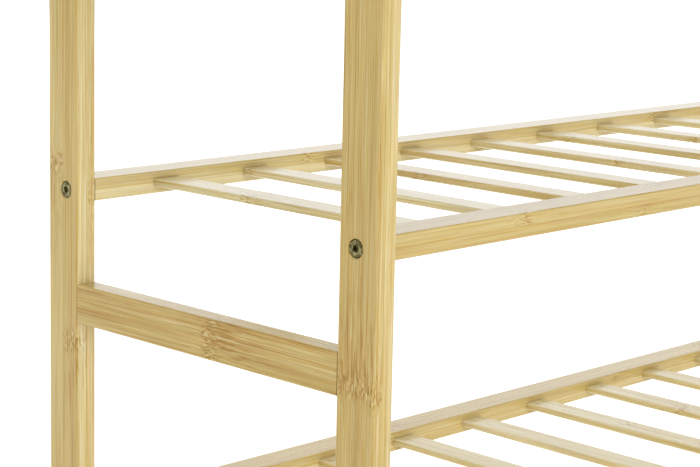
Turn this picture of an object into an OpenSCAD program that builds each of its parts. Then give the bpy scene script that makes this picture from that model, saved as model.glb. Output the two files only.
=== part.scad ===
// Slatted bamboo entryway bench: two end frames, two open shelves and a slatted seat.
// Millimetres. +X runs along the bench, +Y to its back, +Z up. The origin is on the floor,
// under the middle of the bench.

/* [Overall] */
// Length of the bench along X
bench_length = 800; // [660:10:1000]
// Depth of the bench along Y
bench_depth = 300; // [260:10:380]
// Height of the seat above the floor
seat_height = 500; // [440:10:560]

/* [End frames] */
// Width of a post, seen from the bench's end
post_width = 30; // [28:1:40]
// Thickness of a post, seen from the front
post_thickness = 15; // [14:1:22]
// Height of a stretcher's section
stretcher_height = 26; // [22:1:36]
// Drop from the upper shelf's top to the middle stretcher's top
stretcher_drop = 69; // [40:1:110]

/* [Shelves] */
// Height of the lower shelf's top above the floor
lower_shelf_top = 46; // [40:1:80]
// Spacing between the two shelves, top to top
shelf_spacing = 228; // [180:2:236]
// Width of a shelf rail
rail_width = 25; // [22:1:28]
// Height of a shelf rail
rail_height = 15; // [14:1:20]
// Number of slats in a shelf
slat_count = 9; // [5:1:9]
// Width of a shelf slat
slat_width = 22; // [16:1:30]
// Thickness of a shelf slat
slat_thickness = 5; // [4:0.5:6]

/* [Seat] */
// Thickness of the seat frame
seat_thickness = 18; // [18:1:24]
// Width of the seat frame's rails
seat_rail_width = 36; // [32:1:44]
// Number of slats in the seat
seat_slat_count = 11; // [7:1:11]
// Gap between the seat slats
seat_gap = 10; // [6:1:14]
// Thickness of a seat slat
seat_slat_thickness = 12; // [10:1:14]
// Height of the aprons under the seat
apron_height = 40; // [38:1:50]

/* [Fasteners] */
// Thread diameter of the bolts
bolt_d = 6; // [5:0.5:6.5]
// Diameter of a bolt head
head_d = 10.6; // [9.5:0.1:11]
// Diameter of the recess round a bolt head
recess_d = 11.2; // [11.2:0.1:12.5]
// Diameter of a barrel nut
barrel_d = 10; // [9:0.5:10]

/* [Hidden] */
$fn = 48;
corner_fn = 32;
hex_fn = 6;

// How far a cutting shape runs past the face it cuts
past = 1;

// Edge radii of the posts, the seat frame, the other boards and the shelf slats
post_edge = 1.2;
seat_edge = 2;
board_edge = 1;
slat_edge = 1;

// Play of a tenon in its mortise, a bolt in its hole and a plug in its bore
tenon_play = 0.1;
bolt_play = 0.25;
plug_play = 0.1;
thread_play = 0.05;

// Half the bench, and the faces of the posts that look inwards
half_length = bench_length / 2;
half_depth = bench_depth / 2;
inner_x = half_length - post_thickness;
inner_y = half_depth - post_width;
post_x = half_length - post_thickness / 2;
post_y = half_depth - post_width / 2;
rail_y = inner_y + rail_width / 2;

// Levels
pad_thickness = 2;
frame_top = seat_height - seat_thickness;
upper_shelf_top = lower_shelf_top + shelf_spacing;
mid_stretcher_top = upper_shelf_top - stretcher_drop;

// Shelf slats: the end slats stand three quarters of a pitch from the posts
slat_pitch = 2 * inner_x / (slat_count + 0.5);
slat_drop = (rail_height - slat_thickness) / 2;
slat_tenon = 12;

// Tenons on the stretchers, into the posts
stretcher_tenon = 7;
stretcher_tenon_height = 16;
stretcher_tenon_thickness = 7;

// Seat frame, its slats and their tenons
seat_rail_y = half_depth - seat_rail_width / 2;
seat_inner_y = half_depth - seat_rail_width;
seat_end_x = half_length - seat_rail_width / 2;
seat_slat_width =
    (bench_length - 2 * seat_rail_width - (seat_slat_count + 1) * seat_gap) / seat_slat_count;
seat_tenon = 13;
seat_slat_tenon_thickness = 7;
seat_slat_shoulder = 4;
end_rail_tenon = 14;
end_rail_tenon_width = 24;
end_rail_tenon_thickness = 8;

// Aprons, between the posts
apron_thickness = 15;
apron_bolt_z = frame_top - 29;
apron_dowel_z = frame_top - 11;
dowel_d = 6;
dowel_l = 18;
dowel_in_post = 7;
dowel_end_gap = 0.5;

// Connector bolts and the barrel nuts they screw into
recess_depth = 3.1;
recess_chamfer = 0.7;
shank_l = 45;
head_h = 2.6;
head_rim_h = 0.5;
head_rim_inset = 0.6;
socket_af = 4;
socket_depth = 1.9;
bore_l = 36;
barrel_inset = 28;
barrel_l = 12;

// Seat bolts, driven up through the top stretchers into threaded inserts
seat_bolt_y = 0.6 * inner_y;
seat_recess_depth = 7;
seat_shank_l = 28;
insert_d = 9;
insert_l = 12;

// Foot pads
pad_width = 26;
pad_length = 12;
pad_corner = 2;

SIDES = ["left", "right"];
ENDS = ["front", "rear"];
LEVELS = ["upper", "lower"];

// -1 for a left or front piece, 1 for a right or rear one
function sign_of(name) = (name == "left" || name == "front") ? -1 : 1;
function shelf_top(level) = level == "upper" ? upper_shelf_top : lower_shelf_top;
function shelf_bolt_z(level) = shelf_top(level) - rail_height / 2;
function slat_x(i) = (i - (slat_count + 1) / 2) * slat_pitch;
function seat_slat_x(i) = (i - (seat_slat_count + 1) / 2) * (seat_slat_width + seat_gap);

// A rectangle of w by h about the origin, its corners rounded to radius r
module round_rect(w, h, r) {
    square([w - 2 * r, h], center = true);
    square([w, h - 2 * r], center = true);
    for (x = [-1, 1]) for (y = [-1, 1])
        translate([x * (w / 2 - r), y * (h / 2 - r)]) circle(r = r, $fn = corner_fn);
}

// Boards about the origin, along X, Y and Z, with their long edges rounded
module board_x(size, r) {
    translate([-size[0] / 2, 0, 0]) rotate([90, 0, 90])
        linear_extrude(size[0]) round_rect(size[1], size[2], r);
}
module board_y(size, r) {
    translate([0, size[1] / 2, 0]) rotate([90, 0, 0])
        linear_extrude(size[1]) round_rect(size[0], size[2], r);
}
module board_z(size, r) {
    translate([0, 0, -size[2] / 2])
        linear_extrude(size[2]) round_rect(size[0], size[1], r);
}

// A board with every edge eased
module eased_board(size, r) {
    intersection() {
        board_x(size, r);
        board_y(size, r);
        board_z(size, r);
    }
}

module block(size) {
    cube(size, center = true);
}

// A cylinder along X, from the origin to x = l
module rod_x(d, l) {
    rotate([0, 90, 0]) cylinder(d = d, h = l);
}

// Pieces are drawn at the right or the rear, and mirrored to the left or the front
module at_side(s) {
    mirror([s > 0 ? 0 : 1, 0, 0]) children();
}
module at_end(e) {
    mirror([0, e > 0 ? 0 : 1, 0]) children();
}
module at_corners() {
    for (s = [-1, 1]) for (e = [-1, 1]) at_side(s) at_end(e) children();
}
module at_seat_bolts() {
    for (s = [-1, 1]) for (y = [-seat_bolt_y, seat_bolt_y])
        at_side(s) translate([post_x, y, 0]) children();
}

// A connector bolt's way through the right rear post, with the recess for its head
module post_bolt_cut(z) {
    translate([inner_x - past, rail_y, z])
        rod_x(bolt_d + 2 * bolt_play, post_thickness + 2 * past);
    translate([half_length - recess_depth, rail_y, z])
        rod_x(recess_d, recess_depth + past);
    translate([half_length - recess_chamfer, rail_y, z]) rotate([0, 90, 0])
        cylinder(d1 = recess_d, d2 = recess_d + 2 * (recess_chamfer + past),
                 h = recess_chamfer + past);
}

module stretcher_mortise(top) {
    translate([post_x, inner_y + (stretcher_tenon - past) / 2, top - stretcher_height / 2])
        block([stretcher_tenon_thickness + 2 * tenon_play, stretcher_tenon + past,
               stretcher_tenon_height + 2 * tenon_play]);
}

module post(s, e) {
    color("burlywood") at_side(s) at_end(e)
    difference() {
        translate([post_x, post_y, (frame_top + pad_thickness) / 2])
            eased_board([post_thickness, post_width, frame_top - pad_thickness], post_edge);
        post_bolt_cut(shelf_bolt_z("upper"));
        post_bolt_cut(shelf_bolt_z("lower"));
        post_bolt_cut(apron_bolt_z);
        stretcher_mortise(frame_top);
        stretcher_mortise(mid_stretcher_top);
        translate([inner_x - past, rail_y, apron_dowel_z])
            rod_x(dowel_d + 2 * plug_play, dowel_in_post + dowel_end_gap + past);
    }
}

module stretcher_body(top) {
    translate([post_x, 0, top - stretcher_height / 2]) {
        board_y([post_thickness, 2 * inner_y, stretcher_height], board_edge);
        block([stretcher_tenon_thickness, 2 * (inner_y + stretcher_tenon - tenon_play),
               stretcher_tenon_height]);
    }
}

module mid_stretcher(s) {
    color("burlywood") at_side(s) stretcher_body(mid_stretcher_top);
}

module top_stretcher(s) {
    color("burlywood")
    difference() {
        at_side(s) stretcher_body(frame_top);
        at_seat_bolts() translate([0, 0, frame_top - stretcher_height - past]) {
            cylinder(d = bolt_d + 2 * bolt_play, h = stretcher_height + 2 * past);
            cylinder(d = recess_d, h = seat_recess_depth + past);
        }
    }
}

module shelf_rail(e, level) {
    top = shelf_top(level);
    z = shelf_bolt_z(level);
    color("tan") at_end(e)
    difference() {
        translate([0, rail_y, top - rail_height / 2])
            board_x([2 * inner_x, rail_width, rail_height], board_edge);
        for (i = [1:slat_count])
            translate([slat_x(i), inner_y + (slat_tenon - past) / 2,
                       top - slat_drop - slat_thickness / 2])
                board_y([slat_width + 2 * tenon_play, slat_tenon + past,
                         slat_thickness + 2 * tenon_play], slat_edge + tenon_play);
        for (s = [-1, 1]) at_side(s) {
            translate([inner_x - bore_l, rail_y, z])
                rod_x(bolt_d + 2 * bolt_play, bore_l + past);
            // the barrel nut goes in from below
            translate([inner_x - barrel_inset, rail_y, top - rail_height - past])
                cylinder(d = barrel_d + 2 * plug_play,
                         h = (rail_height + barrel_l) / 2 + past);
        }
    }
}

module shelf_slat(i, level) {
    color("wheat")
    translate([slat_x(i), 0, shelf_top(level) - slat_drop - slat_thickness / 2])
        board_y([slat_width, 2 * (inner_y + slat_tenon - tenon_play), slat_thickness],
                slat_edge);
}

module seat_long_rail(e) {
    color("tan") at_end(e)
    difference() {
        translate([0, seat_rail_y, seat_height - seat_thickness / 2])
            eased_board([bench_length, seat_rail_width, seat_thickness], seat_edge);
        for (i = [1:seat_slat_count])
            translate([seat_slat_x(i), seat_inner_y + (seat_tenon - past) / 2,
                       seat_height - seat_slat_thickness / 2])
                block([seat_slat_width - 2 * seat_slat_shoulder + 2 * tenon_play,
                       seat_tenon + past, seat_slat_tenon_thickness + 2 * tenon_play]);
        for (s = [-1, 1])
            translate([s * seat_end_x, seat_inner_y + (end_rail_tenon - past) / 2,
                       seat_height - seat_thickness / 2])
                block([end_rail_tenon_width + 2 * tenon_play, end_rail_tenon + past,
                       end_rail_tenon_thickness + 2 * tenon_play]);
    }
}

module seat_end_rail(s) {
    color("tan")
    difference() {
        translate([s * seat_end_x, 0, seat_height - seat_thickness / 2]) {
            board_y([seat_rail_width, 2 * seat_inner_y, seat_thickness], seat_edge);
            block([end_rail_tenon_width, 2 * (seat_inner_y + end_rail_tenon - tenon_play),
                   end_rail_tenon_thickness]);
        }
        at_seat_bolts() translate([0, 0, frame_top - past])
            cylinder(d = insert_d + 2 * plug_play, h = insert_l + past);
    }
}

module seat_slat(i) {
    color("wheat")
    translate([seat_slat_x(i), 0, seat_height - seat_slat_thickness / 2]) {
        board_y([seat_slat_width, 2 * seat_inner_y, seat_slat_thickness], seat_edge);
        block([seat_slat_width - 2 * seat_slat_shoulder,
               2 * (seat_inner_y + seat_tenon - tenon_play), seat_slat_tenon_thickness]);
    }
}

module seat_apron(e) {
    color("tan") at_end(e)
    difference() {
        translate([0, rail_y, frame_top - apron_height / 2])
            board_x([2 * inner_x, apron_thickness, apron_height], board_edge);
        for (s = [-1, 1]) at_side(s) {
            translate([inner_x - bore_l, rail_y, apron_bolt_z])
                rod_x(bolt_d + 2 * bolt_play, bore_l + past);
            // the barrel nut goes in from the apron's inner face
            translate([inner_x - barrel_inset, rail_y + barrel_l / 2, apron_bolt_z])
                rotate([90, 0, 0])
                    cylinder(d = barrel_d + 2 * plug_play,
                             h = (apron_thickness + barrel_l) / 2 + past);
            translate([inner_x + dowel_in_post - dowel_l - dowel_end_gap, rail_y,
                       apron_dowel_z])
                rod_x(dowel_d + 2 * plug_play, dowel_l);
        }
    }
}

// A hexagonal socket of the given depth, cut down from z = 0
module socket_cut() {
    translate([0, 0, -socket_depth])
        cylinder(d = socket_af / cos(30), h = socket_depth + past, $fn = hex_fn);
}

// A bolt along Z with its head above z = 0 and its shank below
module bolt(l) {
    translate([0, 0, -l]) cylinder(d = bolt_d, h = l);
    difference() {
        rotate_extrude() polygon([
            [0, 0], [head_d / 2, 0], [head_d / 2, head_h - head_rim_h],
            [head_d / 2 - head_rim_inset, head_h], [0, head_h]]);
        translate([0, 0, head_h]) socket_cut();
    }
}

module connector_bolts() {
    color("gray")
    for (z = [shelf_bolt_z("upper"), shelf_bolt_z("lower"), apron_bolt_z]) at_corners()
        translate([half_length - recess_depth, rail_y, z]) rotate([0, 90, 0]) bolt(shank_l);
}

// A barrel nut along Z about the origin, with its threaded hole along X
module barrel_nut() {
    difference() {
        translate([0, 0, -barrel_l / 2]) cylinder(d = barrel_d, h = barrel_l);
        translate([-barrel_d, 0, 0]) rod_x(bolt_d + 2 * thread_play, 2 * barrel_d);
    }
}

module barrel_nuts() {
    color("silver") at_corners() translate([inner_x - barrel_inset, rail_y, 0]) {
        for (level = LEVELS) translate([0, 0, shelf_bolt_z(level)]) barrel_nut();
        translate([0, 0, apron_bolt_z]) rotate([90, 0, 0]) barrel_nut();
    }
}

module apron_dowels() {
    color("peru") at_corners()
        translate([inner_x + dowel_in_post - dowel_l, rail_y, apron_dowel_z])
            rod_x(dowel_d, dowel_l);
}

module seat_bolts() {
    color("gray") at_seat_bolts()
        translate([0, 0, frame_top - stretcher_height + seat_recess_depth])
            rotate([180, 0, 0]) bolt(seat_shank_l);
}

module seat_insert_nuts() {
    color("silver") at_seat_bolts()
    difference() {
        translate([0, 0, frame_top]) cylinder(d = insert_d, h = insert_l);
        translate([0, 0, frame_top - past])
            cylinder(d = bolt_d + 2 * thread_play, h = insert_l + 2 * past);
    }
}

module foot_pads() {
    color("dimgray") at_corners()
        translate([post_x, post_y, pad_thickness / 2])
            board_z([pad_length, pad_width, pad_thickness], pad_corner);
}

for (s = SIDES) for (e = ENDS)
    post(sign_of(s), sign_of(e));
for (s = SIDES) {
    top_stretcher(sign_of(s));
    mid_stretcher(sign_of(s));
    seat_end_rail(sign_of(s));
}
for (l = LEVELS) {
    for (e = ENDS)
        shelf_rail(sign_of(e), l);
    for (i = [1:slat_count])
        shelf_slat(i, l);
}
for (e = ENDS) {
    seat_long_rail(sign_of(e));
    seat_apron(sign_of(e));
}
for (i = [1:seat_slat_count])
    seat_slat(i);
connector_bolts();
barrel_nuts();
apron_dowels();
seat_bolts();
seat_insert_nuts();
foot_pads();
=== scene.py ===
"""The looks of a slatted bamboo entryway bench: laminated, lacquered bamboo and zinc-plated fasteners.

Lengths are in metres, except in the bamboo's grain, which is laid out in millimetres.
"""

import math
import random
from typing import NamedTuple

import bpy
from mathutils import Matrix, Vector


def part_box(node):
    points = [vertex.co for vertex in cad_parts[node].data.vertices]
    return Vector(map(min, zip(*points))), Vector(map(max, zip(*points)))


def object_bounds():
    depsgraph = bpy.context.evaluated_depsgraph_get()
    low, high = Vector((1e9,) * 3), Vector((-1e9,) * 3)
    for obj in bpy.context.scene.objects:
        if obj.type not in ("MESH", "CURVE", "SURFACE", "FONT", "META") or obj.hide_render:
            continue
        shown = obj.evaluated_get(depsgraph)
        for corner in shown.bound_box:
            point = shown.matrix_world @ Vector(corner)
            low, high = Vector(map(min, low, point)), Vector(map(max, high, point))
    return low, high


MM_PER_M = 1000
X, Y, Z = 0, 1, 2


# ---------------------------------------------------------------- camera and studio: the choices

# The heading turns clockwise from +Y, the tilt is up from level, and the roll is about the view
CAMERA_PLACE = (-1.1662, -0.8752, 0.4697)
CAMERA_HEADING = math.radians(44.215)
CAMERA_TILT = math.radians(-9.085)
CAMERA_ROLL = math.radians(-0.975)
CAMERA_LENS = 100
CAMERA_SENSOR = 36
CAMERA_SHIFT = (0.0714, -0.0621)
CAMERA_CLIP_START = 0.05

WHITE = (1, 1, 1, 1)
WORLD_FOR_DIFFUSE = 0.52
FLOOR_SIZE = 30
FLOOR_GREY = (0.60, 0.60, 0.60, 1)
FLOOR_GLOW = 0.78
LIGHT_COLOUR = (0.96, 1.00, 1.02)


class Softbox(NamedTuple):
    """A square light aimed at the bench's middle. Gloss shows it only if it is mirrored."""

    name: str
    place: tuple
    side: float
    watts: float
    mirrored: bool


SOFTBOXES = (
    Softbox("key", (-1.3, -5.6, 2.2), 4.0, 205, mirrored=False),
    Softbox("top", (0.0, 0.2, 2.6), 2.4, 24, mirrored=True),
    Softbox("left", (-3.0, 0.3, 0.6), 2.2, 16, mirrored=False),
    Softbox("back", (1.9, 2.4, 0.95), 2.6, 5, mirrored=True),
    Softbox("rear", (0.8, 4.6, 1.7), 3.0, 90, mirrored=False),
)


# ---------------------------------------------------------------- bamboo: the choices

# Strips, the glue between them and the culm's skin, in millimetres. Glue and skin are at full
# strength up to their first distance, and gone at the second.
STRIP_WIDTH = 30
LAST_LAYER_OFFSET = 0.35  # in strips
GLUE_LINE = (0.05, 0.35)
SKIN = (0.2, 1.1)
MOST_STRIP_SEED = 40

# Culm nodes, in millimetres: how far apart they are along a strip, their jagged line, where the
# flames beside them start and end, and how soon the fibres' swerve dies away
NODE_SPACING = 420
NODE_LINE = (2.0, 7.5)
FLAMES_START = (-4.0, 3.0)
FLAMES_END = (5.0, 75.0)
SWERVE_REACH = 15.0
HALO_STRENGTH = 0.45  # a node's marks beside its line, where the swerve is
HALO_SWERVE = (0.35, 0.9)
NODE_LOST_ON_EDGE = 0.5  # how much weaker a node is on the strips' edges

# How squarely a surface faces across the strips to be their edge, or along them to be end grain
EDGE_FACING = (0.55, 0.85)
END_FACING = (0.75, 0.95)

# Each pattern's length along the grain and width across it, in millimetres
PATTERNS = {
    "broad": (260, 6.5),
    "main": (95, 1.3),
    "fine": (28, 0.5),
    "strands": (120, 0.75),
    "flecks": (17, 0.5),
    "flames": (22, 1.3),
    "lenses": (4.6, 0.85),
    "shade": (60, 0.9),
    "tint": (230, 3.2),
    "sway": (150, 28),
    "swerve": (9, 3.0),
    "fine jags": (400, 1.3),
    "broad jags": (400, 7.0),
}

# Where a pattern's noise starts to show as a mark, and where the mark is at full strength
MARKS = {
    "dark strands": (0.44, 0.34),
    "pale strands": (0.57, 0.67),
    "flecks": (0.62, 0.74),
    "flames": (0.50, 0.66),
    "brown lenses": (0.50, 0.40),
    "cream lenses": (0.52, 0.61),
    "shade": (0.36, 0.64),
    "tint": (0.38, 0.62),
}

# How far the patterns that move the fibres or a node's line swing, in millimetres
SWINGS = {"sway": 1.6, "swerve": 3.4, "fine jags": 13, "broad jags": 15}

# What each pattern or mark adds to the bamboo's paleness and to its height
PALENESS = {
    "lean": 0.6,
    "lot": 0.3,
    "broad": 1.0,
    "main": 2.4,
    "fine": 0.9,
    "dark strands": -0.55,
    "pale strands": 0.25,
    "flecks": -0.65,
    "flames": -1.15,
    "brown lenses": -2.2,
    "cream lenses": 0.55,
    "glue": -0.6,
}
HEIGHT = {"main": 0.5, "fine": 0.35, "flecks": -0.5, "glue": -0.6, "brown lenses": -0.35}
BUMP_STRENGTH = 0.25
BUMP_DEPTH = 0.0002

# The lacquered surface, and what end grain adds to its roughness
ROUGHEST, SMOOTHEST = 0.33, 0.25
END_ROUGHNESS = 0.22
BAMBOO_GLOSS = {"IOR": 1.3, "Coat Weight": 0.75, "Coat IOR": 1.25, "Coat Roughness": 0.12}

# Colours, linear, against paleness: from a node's brown through gold and tan to cream
BAMBOO_COLOURS = (
    (-2.50, (0.270, 0.138, 0.010)),
    (-1.35, (0.343, 0.197, 0.034)),
    (-0.75, (0.400, 0.261, 0.065)),
    (-0.35, (0.442, 0.313, 0.096)),
    (0.00, (0.484, 0.360, 0.133)),
    (0.25, (0.520, 0.399, 0.170)),
    (0.50, (0.570, 0.452, 0.218)),
    (1.00, (0.650, 0.560, 0.325)),
    (1.50, (0.710, 0.640, 0.430)),
)
DULLER = (0.960, 0.970, 1.050)
BRIGHTER = (1.040, 1.030, 0.950)
GREENER = (0.985, 1.008, 1.000)
REDDER = (1.012, 0.993, 1.000)


class BoardKind(NamedTuple):
    """How the grain lies in one kind of board."""

    along: int  # the axis that the grain runs along
    wide: int  # the axis across the strips
    thick: int  # the axis through the glued layers
    lean: float  # the usual tone, from gold at -1 to cream at 1
    layer_joint: float = 0.5  # the first layer's share of the thickness, or over 1 for one layer
    # Below zero, as on slats, the fade paints the faces below the skin darker: partly a painted shade
    fade: float = 0.3  # how much paler the first layer is below its skin


# By the end of a node's name. The first that fits is taken.
BOARD_KINDS = {
    "_post": BoardKind(Z, Y, X, -0.2),
    "_stretcher": BoardKind(Y, Z, X, -0.2),
    "_apron": BoardKind(X, Z, Y, 0.0),
    "_end_rail": BoardKind(Y, X, Z, 0.0),
    "_rail": BoardKind(X, Y, Z, 0.0),
    "seat_slat": BoardKind(Y, X, Z, 0.1),
    # Slats: a high lean paints their tops pale, partly their own cream tone and partly painted light
    # for the light and sheen the tops catch; the fade below zero paints their sides darker, partly as
    # painted shade
    "_slat": BoardKind(Y, X, Z, 1.75, layer_joint=1.1, fade=-0.65),
}


class Grain(NamedTuple):
    """How one board's grain lies. Millimetres are from the board's middle."""

    nodes: tuple  # where the first and the last layer's strip 0 has its culm node
    leans: tuple  # the first and the last layer's tone, from gold at -1 to cream at 1
    fade: float  # how much paler the first layer is below its skin
    strip_joint: float  # where strip 0 of the first layer starts, across the board
    layer_joint: float = 0.5  # the first layer's share of the thickness
    # how far on each strip's node is from the last strip's, and below zero where nodes are
    # measured, and flames run, the other way along the board
    stagger: float = 150
    figure: float = 1.0  # how strong the streaks and flames are


# Boards with a grain of their own. The others' is drawn.
OWN_GRAIN = {
    "left_front_post": Grain((-54, 225), (-0.45, 0.50), 0.15, -11.5, 0.4, 4, 1.1),
    # The rear post's cream last lean and strong fade are partly its own tone and partly painted light:
    # paler, to stand in for the light that the seat keeps off its front face
    "left_rear_post": Grain((-40, 278), (-0.40, 0.65), 0.95, 0, 0.49, -303, 0.9),
    "left_mid_stretcher": Grain((11, -120), (-1.00, 0.10), 0.7, -15, 0.5, -150, 1.3),
    "upper_front_rail": Grain((-151, -266), (-0.40, -0.30), 0.0, -20, figure=0.75),
    # The rear rail's high leans are partly its own tone and partly painted light: paler, to stand in
    # for the light that the seat and the front rail keep off its front face
    "upper_rear_rail": Grain((150, -40), (1.05, 0.35), 0.2, 6, figure=0.6),
    "lower_front_rail": Grain((20, 130), (-0.30, -0.30), 0.2, 9, figure=0.85),
    "lower_rear_rail": Grain((60, -80), (0.15, 0.00), 0.2, 2, figure=0.8),
}
DRAW_SEED = 11
MOST_BOARD_SEED = 100
LEAN_SPREAD = 0.35
STAGGERS = (90, 330)


# ---------------------------------------------------------------- shader nodes

class Nodes:
    """Short calls that add shader nodes to one tree and link them."""

    def __init__(self, tree):
        self.tree = tree

    def put(self, socket, value):
        """Links another socket to this one, or gives it a value."""
        if isinstance(value, bpy.types.NodeSocket):
            self.tree.links.new(value, socket)
        else:
            socket.default_value = value

    def add(self, kind, inputs=None, **settings):
        node = self.tree.nodes.new(kind)
        for name, value in settings.items():
            setattr(node, name, value)
        for name, value in (inputs or {}).items():
            self.put(node.inputs[name], value)
        return node

    def math(self, operation, *values):
        node = self.add("ShaderNodeMath", operation=operation)
        for socket, value in zip(node.inputs, values):
            self.put(socket, value)
        return node.outputs[0]

    def total(self, *values):
        result = values[0]
        for value in values[1:]:
            result = self.math("ADD", result, value)
        return result

    def swing(self, value, size):
        """A value about 0.5 made into one about 0, and size times as large."""
        return self.math("MULTIPLY", self.math("SUBTRACT", value, 0.5), size)

    def vector(self, x, y, z):
        return self.add("ShaderNodeCombineXYZ", {"X": x, "Y": y, "Z": z}).outputs[0]

    def parts(self, vector):
        return self.add("ShaderNodeSeparateXYZ", {"Vector": vector}).outputs

    def scaled(self, vector, scale):
        node = self.add("ShaderNodeVectorMath", {"Scale": scale}, operation="SCALE")
        self.put(node.inputs[0], vector)
        return node.outputs["Vector"]

    def difference(self, first, second):
        node = self.add("ShaderNodeVectorMath", operation="SUBTRACT")
        self.put(node.inputs[0], first)
        self.put(node.inputs[1], second)
        return node.outputs["Vector"]

    def object_point(self, scale):
        """Object coordinates in units of 1 / scale metres."""
        return self.scaled(self.add("ShaderNodeTexCoord").outputs["Object"], scale)

    def object_property(self, name, output="Vector"):
        return self.add("ShaderNodeAttribute", attribute_type="OBJECT",
                        attribute_name=name).outputs[output]

    def noise(self, vector, detail=2.0, roughness=0.5):
        """Smooth noise about 0.5 that changes over about 1 unit of vector."""
        node = self.add("ShaderNodeTexNoise", {
            "Vector": vector, "Scale": 1.0, "Detail": detail, "Roughness": roughness})
        return node.outputs["Fac"]

    def step(self, value, low, high, to_low=0.0, to_high=1.0):
        """A smooth step from to_low to to_high as value goes from low to high."""
        node = self.add("ShaderNodeMapRange", {
            "Value": value, "From Min": low, "From Max": high,
            "To Min": to_low, "To Max": to_high}, interpolation_type="SMOOTHSTEP")
        return node.outputs["Result"]

    def fade_out(self, distance, full, gone):
        """1 up to the distance full, and 0 from the distance gone."""
        return self.step(distance, gone, full)

    def ramp(self, value, stops):
        node = self.add("ShaderNodeValToRGB", {"Fac": value})
        elements = node.color_ramp.elements
        while len(elements) < len(stops):
            elements.new(0.5)
        for element, (place, colour) in zip(elements, stops):
            element.position = place
            element.color = (*colour, 1)
        return node.outputs["Color"]

    def mix(self, factor, first, second, blend="MIX"):
        """Mixes two colours, which a Mix node has at its inputs 6 and 7 and its output 2."""
        node = self.add("ShaderNodeMix", data_type="RGBA", blend_type=blend)
        self.put(node.inputs[0], factor)
        for socket, value in ((node.inputs[6], first), (node.inputs[7], second)):
            self.put(socket, (*value, 1) if isinstance(value, tuple) else value)
        return node.outputs[2]


def new_material(name):
    """A material, the nodes of its tree and its shader."""
    material = bpy.data.materials.new(name)
    material.use_nodes = True
    return material, Nodes(material.node_tree), material.node_tree.nodes["Principled BSDF"]


def dress_shader(n, shader, colour, roughness, height, strength, depth):
    """Gives a shader its colour, its roughness and a bump that is up to depth metres high."""
    bump = n.add("ShaderNodeBump", {"Height": height, "Strength": strength, "Distance": depth})
    n.put(shader.inputs["Base Color"], colour)
    n.put(shader.inputs["Roughness"], roughness)
    n.put(shader.inputs["Normal"], bump.outputs["Normal"])


# ---------------------------------------------------------------- bamboo

GRAIN_INPUTS = ("Along", "Wide", "Thick", "Seed", "First Node", "Last Node", "First Lean",
                "Last Lean", "Strip Joint", "Layer Joint", "Fade", "Stagger", "Figure", "Thickness",
                "Edge", "End")


class Place(NamedTuple):
    """Where a point is in its board, in millimetres, and its strip's seed. Each is a socket."""

    along: object
    wide: object
    thick: object
    seed: object


def grain_sockets(tree):
    for name in GRAIN_INPUTS:
        tree.interface.new_socket(name, in_out="INPUT", socket_type="NodeSocketFloat")
    tree.interface.new_socket("Color", in_out="OUTPUT", socket_type="NodeSocketColor")
    for name in ("Roughness", "Height"):
        tree.interface.new_socket(name, in_out="OUTPUT", socket_type="NodeSocketFloat")


def pattern(n, name, place, detail=2.0, roughness=0.5):
    """A named pattern's noise, about 0.5."""
    length, width = PATTERNS[name]
    along = n.math("ADD", n.math("DIVIDE", place.along, length), place.seed)
    across = [n.math("DIVIDE", value, width) for value in (place.wide, place.thick)]
    return n.noise(n.vector(along, *across), detail, roughness)


def pattern_swing(n, name, place):
    """How far a named pattern moves a point, in millimetres."""
    return n.swing(pattern(n, name, place, detail=1.0), SWINGS[name])


def mark(n, name, value, strength=1.0):
    """How strongly a pattern's noise shows as a named mark."""
    return n.step(value, *MARKS[name], 0.0, strength)


def find_strip(n, at):
    """The glued layer and strip that a point is in, its random lot, its glue and its depth.

    Strip 0 of the first layer starts at Strip Joint, and the last layer's strips are offset.
    """
    depth = n.math("ADD", n.math("DIVIDE", at["Thick"], at["Thickness"]), 0.5)
    past_joint = n.math("SUBTRACT", depth, at["Layer Joint"])
    layer = n.math("GREATER_THAN", past_joint, 0.0)
    across = n.math("SUBTRACT", at["Wide"], at["Strip Joint"])
    strips = n.math("ADD", n.math("DIVIDE", across, STRIP_WIDTH),
                    n.math("MULTIPLY", layer, LAST_LAYER_OFFSET))
    strip = n.math("FLOOR", strips)
    off_middle = n.math("ABSOLUTE", n.math("SUBTRACT", n.math("FRACT", strips), 0.5))
    to_side = n.math("MULTIPLY", n.math("SUBTRACT", 0.5, off_middle), STRIP_WIDTH)
    to_layer = n.math("MULTIPLY", n.math("ABSOLUTE", past_joint), at["Thickness"])
    to_face = n.math("MULTIPLY", n.math("MINIMUM", depth, n.math("SUBTRACT", 1.0, depth)),
                     at["Thickness"])
    lots = n.add("ShaderNodeTexWhiteNoise", {"Vector": n.vector(layer, strip, at["Seed"])})
    return {
        "layer": layer,
        "strip": strip,
        "lot": lots.outputs["Value"],
        "glue": n.math("MAXIMUM", n.fade_out(to_side, *GLUE_LINE), n.fade_out(to_layer, *GLUE_LINE)),
        "to face": to_face,
    }


def by_layer(n, strip, first, last):
    """One value in the first glued layer, and another in the last."""
    return n.add("ShaderNodeMix", {"Factor": strip["layer"], "A": first, "B": last},
                 data_type="FLOAT").outputs[0]


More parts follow.
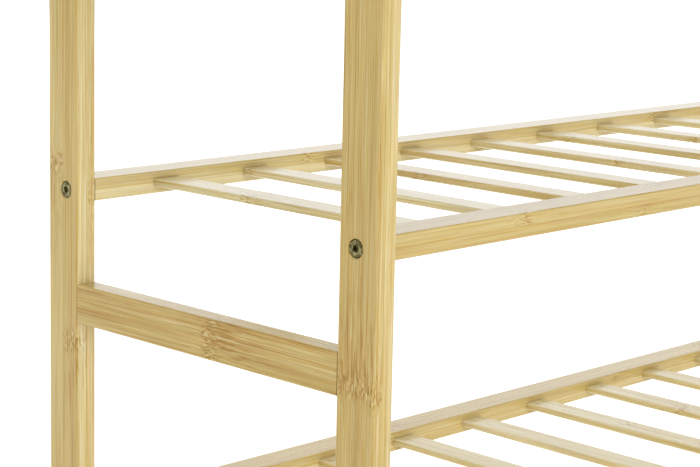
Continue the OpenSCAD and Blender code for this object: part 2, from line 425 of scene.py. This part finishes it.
def find_culm_node(n, at, strip, place):
    """How strong the marks of a strip's nearest culm node are at a point.

    Strip 0 has its node at the place given for its layer, and each next strip's is a stagger
    further on. Flames run out from one side of a node.
    """
    given = by_layer(n, strip, at["First Node"], at["Last Node"])
    from_node = n.math("SUBTRACT", n.math("SUBTRACT", place.along, given),
                       n.math("MULTIPLY", strip["strip"], at["Stagger"]))
    turns = n.math("DIVIDE", from_node, NODE_SPACING)
    past_node = n.math("MULTIPLY", n.math("SUBTRACT", turns, n.math("ROUND", turns)), NODE_SPACING)
    jags = n.math("ADD", pattern_swing(n, "fine jags", place),
                  pattern_swing(n, "broad jags", place))
    off_line = n.math("ABSOLUTE", n.math("ADD", past_node, jags))
    nearness = n.math("EXPONENT", n.math("DIVIDE", n.math("ABSOLUTE", past_node), -SWERVE_REACH))
    halo = n.math("MULTIPLY", n.step(nearness, *HALO_SWERVE), HALO_STRENGTH)
    band = n.math("MAXIMUM", n.fade_out(off_line, *NODE_LINE), halo)
    flames = n.math("MULTIPLY", n.step(past_node, *FLAMES_START),
                    n.fade_out(past_node, *FLAMES_END))
    clearness = n.math("SUBTRACT", 1.0, n.math("MULTIPLY", at["Edge"], NODE_LOST_ON_EDGE))
    return {
        "nearness": nearness,
        "band": n.math("MULTIPLY", band, clearness),
        "flames": n.math("MULTIPLY", flames, clearness),
    }


def bend_fibres(n, place, nearness):
    """A place moved across the grain, so that the fibres sway a little and swerve at a node."""
    swerve = n.math("MULTIPLY", pattern_swing(n, "swerve", place), nearness)
    bend = n.math("ADD", pattern_swing(n, "sway", place), swerve)
    return place._replace(wide=n.math("ADD", place.wide, bend),
                          thick=n.math("ADD", place.thick, bend))


def bamboo_colour(n, paleness, place):
    """The colour of a paleness, varied a little in shade and tint along the fibres."""
    first, last = BAMBOO_COLOURS[0][0], BAMBOO_COLOURS[-1][0]
    span = last - first
    colour = n.ramp(n.math("DIVIDE", n.math("SUBTRACT", paleness, first), span),
                    [((pale - first) / span, colour) for pale, colour in BAMBOO_COLOURS])
    shade = n.mix(mark(n, "shade", pattern(n, "shade", place)), DULLER, BRIGHTER)
    tint = n.mix(mark(n, "tint", pattern(n, "tint", place, 1.0)), GREENER, REDDER)
    return n.mix(1.0, n.mix(1.0, colour, shade, "MULTIPLY"), tint, "MULTIPLY")


def grain_group():
    """Colour, roughness and height of laminated bamboo, from a point's place in its board."""
    tree = bpy.data.node_groups.new("bamboo_grain", "ShaderNodeTree")
    grain_sockets(tree)
    n = Nodes(tree)
    at = n.add("NodeGroupInput").outputs
    strip = find_strip(n, at)
    seed = n.math("ADD", at["Seed"], n.math("MULTIPLY", strip["lot"], MOST_STRIP_SEED))
    straight = Place(at["Along"], at["Wide"], at["Thick"], seed)
    culm_node = find_culm_node(n, at, strip, straight)
    place = bend_fibres(n, straight, culm_node["nearness"])

    broad = pattern(n, "broad", place)
    main = pattern(n, "main", place, 3.0, 0.62)
    fine = pattern(n, "fine", place)
    strands = pattern(n, "strands", place, 1.0)
    lenses = pattern(n, "lenses", place, 1.0)
    # flecks are where a fibre bundle meets the surface, and there are few in pale grain
    flecks = n.math("MULTIPLY", mark(n, "flecks", pattern(n, "flecks", place, 1.0)),
                    n.step(broad, 0.62, 0.40, 0.05, 1.0))
    flames = n.math("MULTIPLY", mark(n, "flames", pattern(n, "flames", place, 1.0)),
                    culm_node["flames"])
    # a culm node is a band of short brown and cream lenses
    brown = n.math("MULTIPLY", mark(n, "brown lenses", lenses), culm_node["band"])
    cream = n.math("MULTIPLY", mark(n, "cream lenses", lenses), culm_node["band"])

    figure = n.total(
        n.swing(broad, PALENESS["broad"]),
        n.swing(main, PALENESS["main"]),
        n.swing(fine, PALENESS["fine"]),
        mark(n, "dark strands", strands, PALENESS["dark strands"]),
        mark(n, "pale strands", strands, PALENESS["pale strands"]),
        n.math("MULTIPLY", flecks, PALENESS["flecks"]),
        n.math("MULTIPLY", flames, PALENESS["flames"]))
    # the culm's dense skin fades to paler fibre below it. On slats the fade is below zero and darkens
    # their sides, partly as painted shade, and their high lean makes their tops pale, partly as
    # painted light
    paleness = n.total(
        n.math("MULTIPLY", by_layer(n, strip, at["First Lean"], at["Last Lean"]), PALENESS["lean"]),
        n.swing(strip["lot"], PALENESS["lot"]),
        n.math("MULTIPLY", n.step(strip["to face"], *SKIN), by_layer(n, strip, at["Fade"], 0.0)),
        n.math("MULTIPLY", figure, at["Figure"]),
        n.math("MULTIPLY", brown, PALENESS["brown lenses"]),
        n.math("MULTIPLY", cream, PALENESS["cream lenses"]),
        n.math("MULTIPLY", strip["glue"], PALENESS["glue"]))
    roughness = n.math("ADD", n.step(fine, 0.3, 0.7, ROUGHEST, SMOOTHEST),
                       n.math("MULTIPLY", at["End"], END_ROUGHNESS))
    height = n.total(
        n.math("MULTIPLY", main, HEIGHT["main"]),
        n.math("MULTIPLY", fine, HEIGHT["fine"]),
        n.math("MULTIPLY", flecks, HEIGHT["flecks"]),
        n.math("MULTIPLY", strip["glue"], HEIGHT["glue"]),
        n.math("MULTIPLY", brown, HEIGHT["brown lenses"]))
    n.add("NodeGroupOutput", {"Color": bamboo_colour(n, paleness, place),
                              "Roughness": roughness, "Height": height})
    return tree


def bamboo(name, group, kind, thickness):
    """Bamboo for one kind of board of one thickness. It reads each board's own properties."""
    material, n, shader = new_material(name)
    point = n.add("ShaderNodeTexCoord").outputs
    from_centre = n.difference(point["Object"], n.object_property("grain_centre"))
    place = n.parts(n.scaled(from_centre, MM_PER_M))
    facing = n.parts(point["Normal"])
    seed_and_nodes = n.parts(n.object_property("grain_nodes"))
    tones = n.parts(n.object_property("grain_tones"))
    joints = n.parts(n.object_property("grain_joints"))
    values = {
        "Along": n.math("MULTIPLY", place[kind.along], n.math("SIGN", joints[2])),
        "Wide": place[kind.wide],
        "Thick": place[kind.thick],
        "Seed": seed_and_nodes[0],
        "First Node": seed_and_nodes[1],
        "Last Node": seed_and_nodes[2],
        "First Lean": tones[0],
        "Last Lean": tones[1],
        "Fade": tones[2],
        "Strip Joint": joints[0],
        "Layer Joint": joints[1],
        "Stagger": n.math("ABSOLUTE", joints[2]),
        "Figure": n.object_property("grain_figure", "Fac"),
        "Thickness": thickness,
        "Edge": n.step(n.math("ABSOLUTE", facing[kind.wide]), *EDGE_FACING),
        "End": n.step(n.math("ABSOLUTE", facing[kind.along]), *END_FACING),
    }
    grain = n.add("ShaderNodeGroup", node_tree=group)
    for socket, value in values.items():
        n.put(grain.inputs[socket], value)
    dress_shader(n, shader, grain.outputs["Color"], grain.outputs["Roughness"],
                 grain.outputs["Height"], BUMP_STRENGTH, BUMP_DEPTH)
    for socket, value in BAMBOO_GLOSS.items():
        shader.inputs[socket].default_value = value
    return material


# ---------------------------------------------------------------- other materials

def zinc_steel():
    """Plated steel, a little yellowed, with patchy tone and smaller scuffs. Its near-black tone is a
    painted dark reflection, and its pale patchy spots are partly painted glints.
    """
    material, n, shader = new_material("zinc_steel_worn_with_painted_reflection")
    patches_and_glints = n.noise(n.object_point(430), 3.0, 0.65)
    scuffs = n.noise(n.object_point(2600), 2.0, 0.6)
    # Painted reflection: the near-black stops stand in for a dark reflection, and the pale stop partly
    # for glints; the scuffs are real bumps and roughness
    colour = n.ramp(patches_and_glints, (
        (0.36, (0.062, 0.055, 0.020)),
        (0.48, (0.140, 0.124, 0.050)),
        (0.62, (0.340, 0.308, 0.150)),
    ))
    dress_shader(n, shader, colour, n.step(scuffs, 0.35, 0.65, 0.28, 0.48), scuffs, 0.9, 0.0002)
    shader.inputs["Metallic"].default_value = 1.0
    return material


def dowel_wood():
    """Plain beech, with its grain along X."""
    material, n, shader = new_material("dowel_beech")
    length, width = 14.0, 0.7
    place = n.parts(n.object_point(MM_PER_M))
    grain = n.noise(n.vector(n.math("DIVIDE", place[X], length), n.math("DIVIDE", place[Y], width),
                             n.math("DIVIDE", place[Z], width)), 3.0, 0.6)
    colour = n.ramp(grain, ((0.35, (0.44, 0.27, 0.13)), (0.65, (0.62, 0.43, 0.25))))
    dress_shader(n, shader, colour, n.step(grain, 0.3, 0.7, 0.60, 0.75), grain, 0.4, 0.0001)
    return material


def foot_felt():
    """Grey-brown felt with a short nap."""
    material, n, shader = new_material("foot_felt")
    nap = n.noise(n.object_point(1600), 3.0, 0.7)
    colour = n.ramp(nap, ((0.35, (0.070, 0.062, 0.052)), (0.65, (0.165, 0.150, 0.130))))
    dress_shader(n, shader, colour, n.step(nap, 0.3, 0.7, 0.98, 0.88), nap, 0.7, 0.0004)
    return material


# ---------------------------------------------------------------- giving out the materials

def board_kind(name):
    """The entry of BOARD_KINDS that a node's name fits, or None for a fastener, dowel or foot."""
    stem = name.rstrip("0123456789").rstrip("_")
    return next((ending for ending in BOARD_KINDS if stem.endswith(ending)), None)


def drawn_grain(draw, kind):
    half_spacing, half_strip = NODE_SPACING / 2, STRIP_WIDTH / 2
    return Grain(
        nodes=[draw.uniform(-half_spacing, half_spacing) for _ in range(2)],
        leans=[kind.lean + draw.uniform(-LEAN_SPREAD, LEAN_SPREAD) for _ in range(2)],
        fade=kind.fade,
        strip_joint=draw.uniform(-half_strip, half_strip),
        layer_joint=kind.layer_joint,
        stagger=draw.choice((-1, 1)) * draw.uniform(*STAGGERS))


def dress_boards(nodes):
    """Gives each bamboo board its material, and the properties that make its own grain."""
    group = grain_group()
    made = {}
    draw = random.Random(DRAW_SEED)
    for name in sorted(nodes):
        ending = board_kind(name)
        if ending is None:
            continue
        kind = BOARD_KINDS[ending]
        low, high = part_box(name)
        thickness = round((high - low)[kind.thick] * MM_PER_M, 1)
        key = (ending, thickness)
        if key not in made:
            made[key] = bamboo("bamboo" + ending, group, kind, thickness)
        seed = draw.uniform(0, MOST_BOARD_SEED)
        drawn = drawn_grain(draw, kind)
        grain = OWN_GRAIN.get(name, drawn)
        board = nodes[name]
        board["grain_centre"] = list((low + high) / 2)
        board["grain_nodes"] = [seed, *map(float, grain.nodes)]
        board["grain_tones"] = [*grain.leans, grain.fade]
        board["grain_joints"] = [float(grain.strip_joint), grain.layer_joint, float(grain.stagger)]
        board["grain_figure"] = grain.figure
        board.data.materials[0] = made[key]


def dress_hardware(nodes):
    steel = zinc_steel()
    for name in ("connector_bolts", "barrel_nuts", "seat_bolts", "seat_insert_nuts"):
        nodes[name].data.materials[0] = steel
    nodes["apron_dowels"].data.materials[0] = dowel_wood()
    nodes["foot_pads"].data.materials[0] = foot_felt()


# ---------------------------------------------------------------- camera and studio

def add_to_scene(name, data):
    thing = bpy.data.objects.new(name, data)
    bpy.context.scene.collection.objects.link(thing)
    return thing


def make_camera():
    data = bpy.data.cameras.new("camera")
    data.lens = CAMERA_LENS
    data.sensor_width = CAMERA_SENSOR
    data.shift_x, data.shift_y = CAMERA_SHIFT
    data.clip_start = CAMERA_CLIP_START
    camera = add_to_scene("camera", data)
    turn = (Matrix.Rotation(-CAMERA_HEADING, 4, "Z")
            @ Matrix.Rotation(math.pi / 2 + CAMERA_TILT, 4, "X")
            @ Matrix.Rotation(-CAMERA_ROLL, 4, "Z"))
    camera.matrix_world = Matrix.Translation(CAMERA_PLACE) @ turn
    bpy.context.scene.camera = camera


def make_world():
    """Even white all round, weaker as a source of diffuse light."""
    world = bpy.data.worlds.new("studio_world")
    world.use_nodes = True
    n = Nodes(world.node_tree)
    diffuse = n.add("ShaderNodeLightPath").outputs["Is Diffuse Ray"]
    weaker = n.math("MULTIPLY", diffuse, 1 - WORLD_FOR_DIFFUSE)
    background = world.node_tree.nodes["Background"]
    background.inputs["Color"].default_value = WHITE
    n.put(background.inputs["Strength"], n.math("SUBTRACT", 1.0, weaker))
    bpy.context.scene.world = world


def make_floor():
    """A pale floor that glows enough to read as white paper."""
    half = FLOOR_SIZE / 2
    mesh = bpy.data.meshes.new("floor")
    corners = [(x, y, 0) for x, y in ((-half, -half), (half, -half), (half, half), (-half, half))]
    mesh.from_pydata(corners, [], [(0, 1, 2, 3)])
    material, _, shader = new_material("floor_paper")
    shader.inputs["Base Color"].default_value = FLOOR_GREY
    shader.inputs["Roughness"].default_value = 1.0
    shader.inputs["Specular IOR Level"].default_value = 0.0
    shader.inputs["Emission Color"].default_value = WHITE
    shader.inputs["Emission Strength"].default_value = FLOOR_GLOW
    mesh.materials.append(material)
    add_to_scene("floor", mesh)


def make_lights(low, high):
    middle = (Vector(low) + Vector(high)) / 2
    for box in SOFTBOXES:
        data = bpy.data.lights.new(box.name, "AREA")
        data.shape = "SQUARE"
        data.size = box.side
        data.energy = box.watts
        data.color = LIGHT_COLOUR
        light = add_to_scene(box.name, data)
        aim = (middle - Vector(box.place)).to_track_quat("-Z", "Y")
        light.matrix_world = Matrix.Translation(box.place) @ aim.to_matrix().to_4x4()
        light.visible_camera = False
        light.visible_glossy = box.mirrored


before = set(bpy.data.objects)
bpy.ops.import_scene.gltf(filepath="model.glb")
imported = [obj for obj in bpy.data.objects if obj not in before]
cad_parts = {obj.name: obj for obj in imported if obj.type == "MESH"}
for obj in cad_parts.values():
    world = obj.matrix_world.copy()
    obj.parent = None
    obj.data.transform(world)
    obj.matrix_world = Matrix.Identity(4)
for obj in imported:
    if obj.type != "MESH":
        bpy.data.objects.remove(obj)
cad_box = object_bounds()
make_camera()
make_world()
make_floor()
make_lights(*cad_box)
dress_boards(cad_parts)
dress_hardware(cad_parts)
bpy.context.scene.view_settings.view_transform = "Standard"
